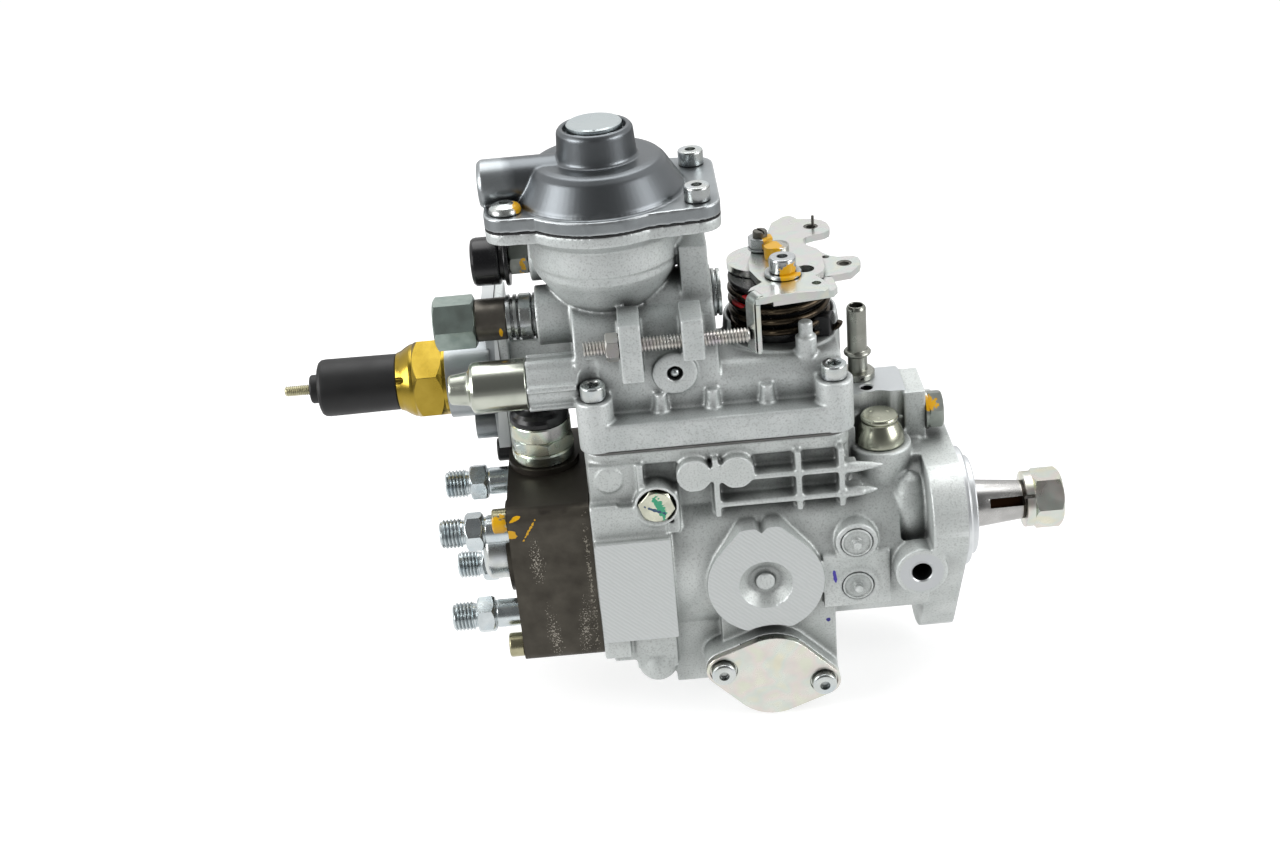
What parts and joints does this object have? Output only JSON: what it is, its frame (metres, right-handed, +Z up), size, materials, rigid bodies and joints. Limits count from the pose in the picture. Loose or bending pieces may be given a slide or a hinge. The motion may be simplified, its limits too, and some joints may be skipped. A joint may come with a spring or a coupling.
{
  "type": "diesel injection pump",
  "caption": "Distributor injection pump with a tapered drive shaft, three-cornered flange, governor cover with throttle lever, boost compensator and cold start device.",
  "frame": {"origin": "where the axis of the drive shaft meets the mounting face, at the root of the pilot", "axes": "+X along the drive shaft towards the engine, +Z up towards the boost compensator, +Y away from the side with the throttle stop screw"},
  "size_m": [0.3205, 0.1102, 0.243],
  "materials": {
    "housing_alloy": "as cast, matt",
    "cover_alloy": "as cast, matt",
    "compensator_alloy": "as cast, smooth",
    "cold_start_alloy": "as cast, smooth",
    "head_steel": "oiled, dark",
    "zinc_plate": "zinc plated, pale yellow",
    "zinc_screw": "zinc plated, clear",
    "dark_steel": "phosphated",
    "ground_steel": "ground",
    "forged_steel": "hardened",
    "pressed_alloy": "turned",
    "bronze": "turned",
    "brass": "turned",
    "stud_plating": "threaded",
    "black_plastic": "moulded",
    "spring_steel": "oiled",
    "seal_rubber": "moulded",
    "gasket": "fibre"
  },
  "bodies": {
    "pump": {"pump_housing": "housing_alloy", "drive_bush": "bronze", "shaft_seal": "seal_rubber", "feed_ring": "forged_steel", "fulcrum_screws": "zinc_plate", "pressed_plugs": "pressed_alloy", "timing_covers": "zinc_plate", "timing_cover_screws": "zinc_screw", "distributor_head": "head_steel", "head_screws": "zinc_screw", "head_barrel": "ground_steel", "central_plug": "zinc_plate", "valve_holders": "zinc_screw", "governor_cover": "cover_alloy", "cover_gasket": "gasket", "cover_screws": "zinc_screw", "regulating_cap": "zinc_plate", "return_nipple": "dark_steel", "block_bolt": "zinc_screw", "solenoid_body": "zinc_plate", "solenoid_boot": "black_plastic", "cold_start_body": "cold_start_alloy", "cold_start_nut": "brass", "heater_capsule": "black_plastic", "heater_stud": "stud_plating", "tamper_cap": "zinc_plate", "load_screw_cap": "dark_steel", "load_screw_nuts": "zinc_screw", "compensator_cover": "compensator_alloy", "compensator_screws": "zinc_screw", "compensator_disc": "zinc_screw", "compensator_diaphragm": "seal_rubber", "vent_cap": "black_plastic", "vent_fitting": "dark_steel", "ring_plug": "zinc_plate", "stop_screw": "zinc_screw", "governor_pin": "ground_steel", "return_spring": "spring_steel", "spring_drum": "black_plastic"},
    "drive": {"drive_shaft": "ground_steel", "drive_nut": "zinc_screw", "drive_gear": "forged_steel", "vane_rotor": "forged_steel", "cam_plate": "forged_steel", "plunger": "ground_steel"},
    "flyweights": {"flyweight_cage": "forged_steel"},
    "sleeve": {"governor_sleeve": "ground_steel"},
    "governor": {"governor_lever": "forged_steel"},
    "collar": {"control_collar": "forged_steel"},
    "throttle": {"throttle_shaft": "ground_steel", "throttle_lever": "zinc_plate", "lever_screws": "zinc_screw"},
    "timer": {"timing_piston": "ground_steel"},
    "rollers": {"roller_ring": "forged_steel"},
    "boost_stem": {"compensator_stem": "ground_steel"},
    "armature": {"solenoid_armature": "ground_steel"},
    "outlet_valve_1": {"delivery_valve_1": "ground_steel"},
    "outlet_valve_2": {"delivery_valve_2": "ground_steel"},
    "outlet_valve_3": {"delivery_valve_3": "ground_steel"},
    "outlet_valve_4": {"delivery_valve_4": "ground_steel"}
  },
  "joints": [
    {"name": "drive_spin", "type": "hinge", "parent": "pump", "child": "drive", "pos_m": [0, 0, 0], "axis": [1, 0, 0], "continuous": true},
    {"name": "flyweight_spin", "type": "hinge", "parent": "pump", "child": "flyweights", "pos_m": [-0.06, 0, 0.046], "axis": [1, 0, 0], "continuous": true},
    {"name": "governor_tilt", "type": "hinge", "parent": "pump", "child": "governor", "pos_m": [-0.1213, 0, 0.0345], "axis": [0, -1, 0], "range_deg": [0, 12]},
    {"name": "sleeve_slide", "type": "slide", "parent": "pump", "child": "sleeve", "axis": [-1, 0, 0], "range_m": [0, 0.0019]},
    {"name": "collar_slide", "type": "slide", "parent": "pump", "child": "collar", "axis": [1, 0, 0], "range_m": [0, 0.00475]},
    {"name": "throttle_turn", "type": "hinge", "parent": "pump", "child": "throttle", "pos_m": [-0.065, 0.01, 0.1], "axis": [0, 0, 1], "range_deg": [0, 40], "stiffness_Nm_per_rad": 0.6, "springref_deg": -20.05},
    {"name": "timer_slide", "type": "slide", "parent": "pump", "child": "timer", "axis": [0, 1, 0], "range_m": [0, 0.0096]},
    {"name": "roller_ring_turn", "type": "hinge", "parent": "pump", "child": "rollers", "pos_m": [-0.08, 0, 0], "axis": [1, 0, 0], "range_deg": [0, 12]},
    {"name": "boost_stem_slide", "type": "slide", "parent": "pump", "child": "boost_stem", "axis": [0, 0, -1], "range_m": [0, 0.005], "stiffness_N_per_m": 3000, "springref_m": -0.004},
    {"name": "armature_lift", "type": "slide", "parent": "pump", "child": "armature", "axis": [0, 0, 1], "range_m": [0, 0.002], "stiffness_N_per_m": 2500, "springref_m": -0.002},
    {"name": "outlet_valve_1_lift", "type": "slide", "parent": "pump", "child": "outlet_valve_1", "axis": [-1, 0, 0], "range_m": [0, 0.0025], "stiffness_N_per_m": 3500, "springref_m": -0.002},
    {"name": "outlet_valve_2_lift", "type": "slide", "parent": "pump", "child": "outlet_valve_2", "axis": [-1, 0, 0], "range_m": [0, 0.0025], "stiffness_N_per_m": 3500, "springref_m": -0.002},
    {"name": "outlet_valve_3_lift", "type": "slide", "parent": "pump", "child": "outlet_valve_3", "axis": [-1, 0, 0], "range_m": [0, 0.0025], "stiffness_N_per_m": 3500, "springref_m": -0.002},
    {"name": "outlet_valve_4_lift", "type": "slide", "parent": "pump", "child": "outlet_valve_4", "axis": [-1, 0, 0], "range_m": [0, 0.0025], "stiffness_N_per_m": 3500, "springref_m": -0.002}
  ],
  "couplings": [
    {"joint": "flyweight_spin", "follows": "drive_spin", "ratio": -1.5556},
    {"joint": "sleeve_slide", "follows": "governor_tilt", "m_per_rad": 0.009},
    {"joint": "collar_slide", "follows": "governor_tilt", "m_per_rad": 0.0225},
    {"joint": "roller_ring_turn", "follows": "timer_slide", "rad_per_m": 21.74}
  ]
}
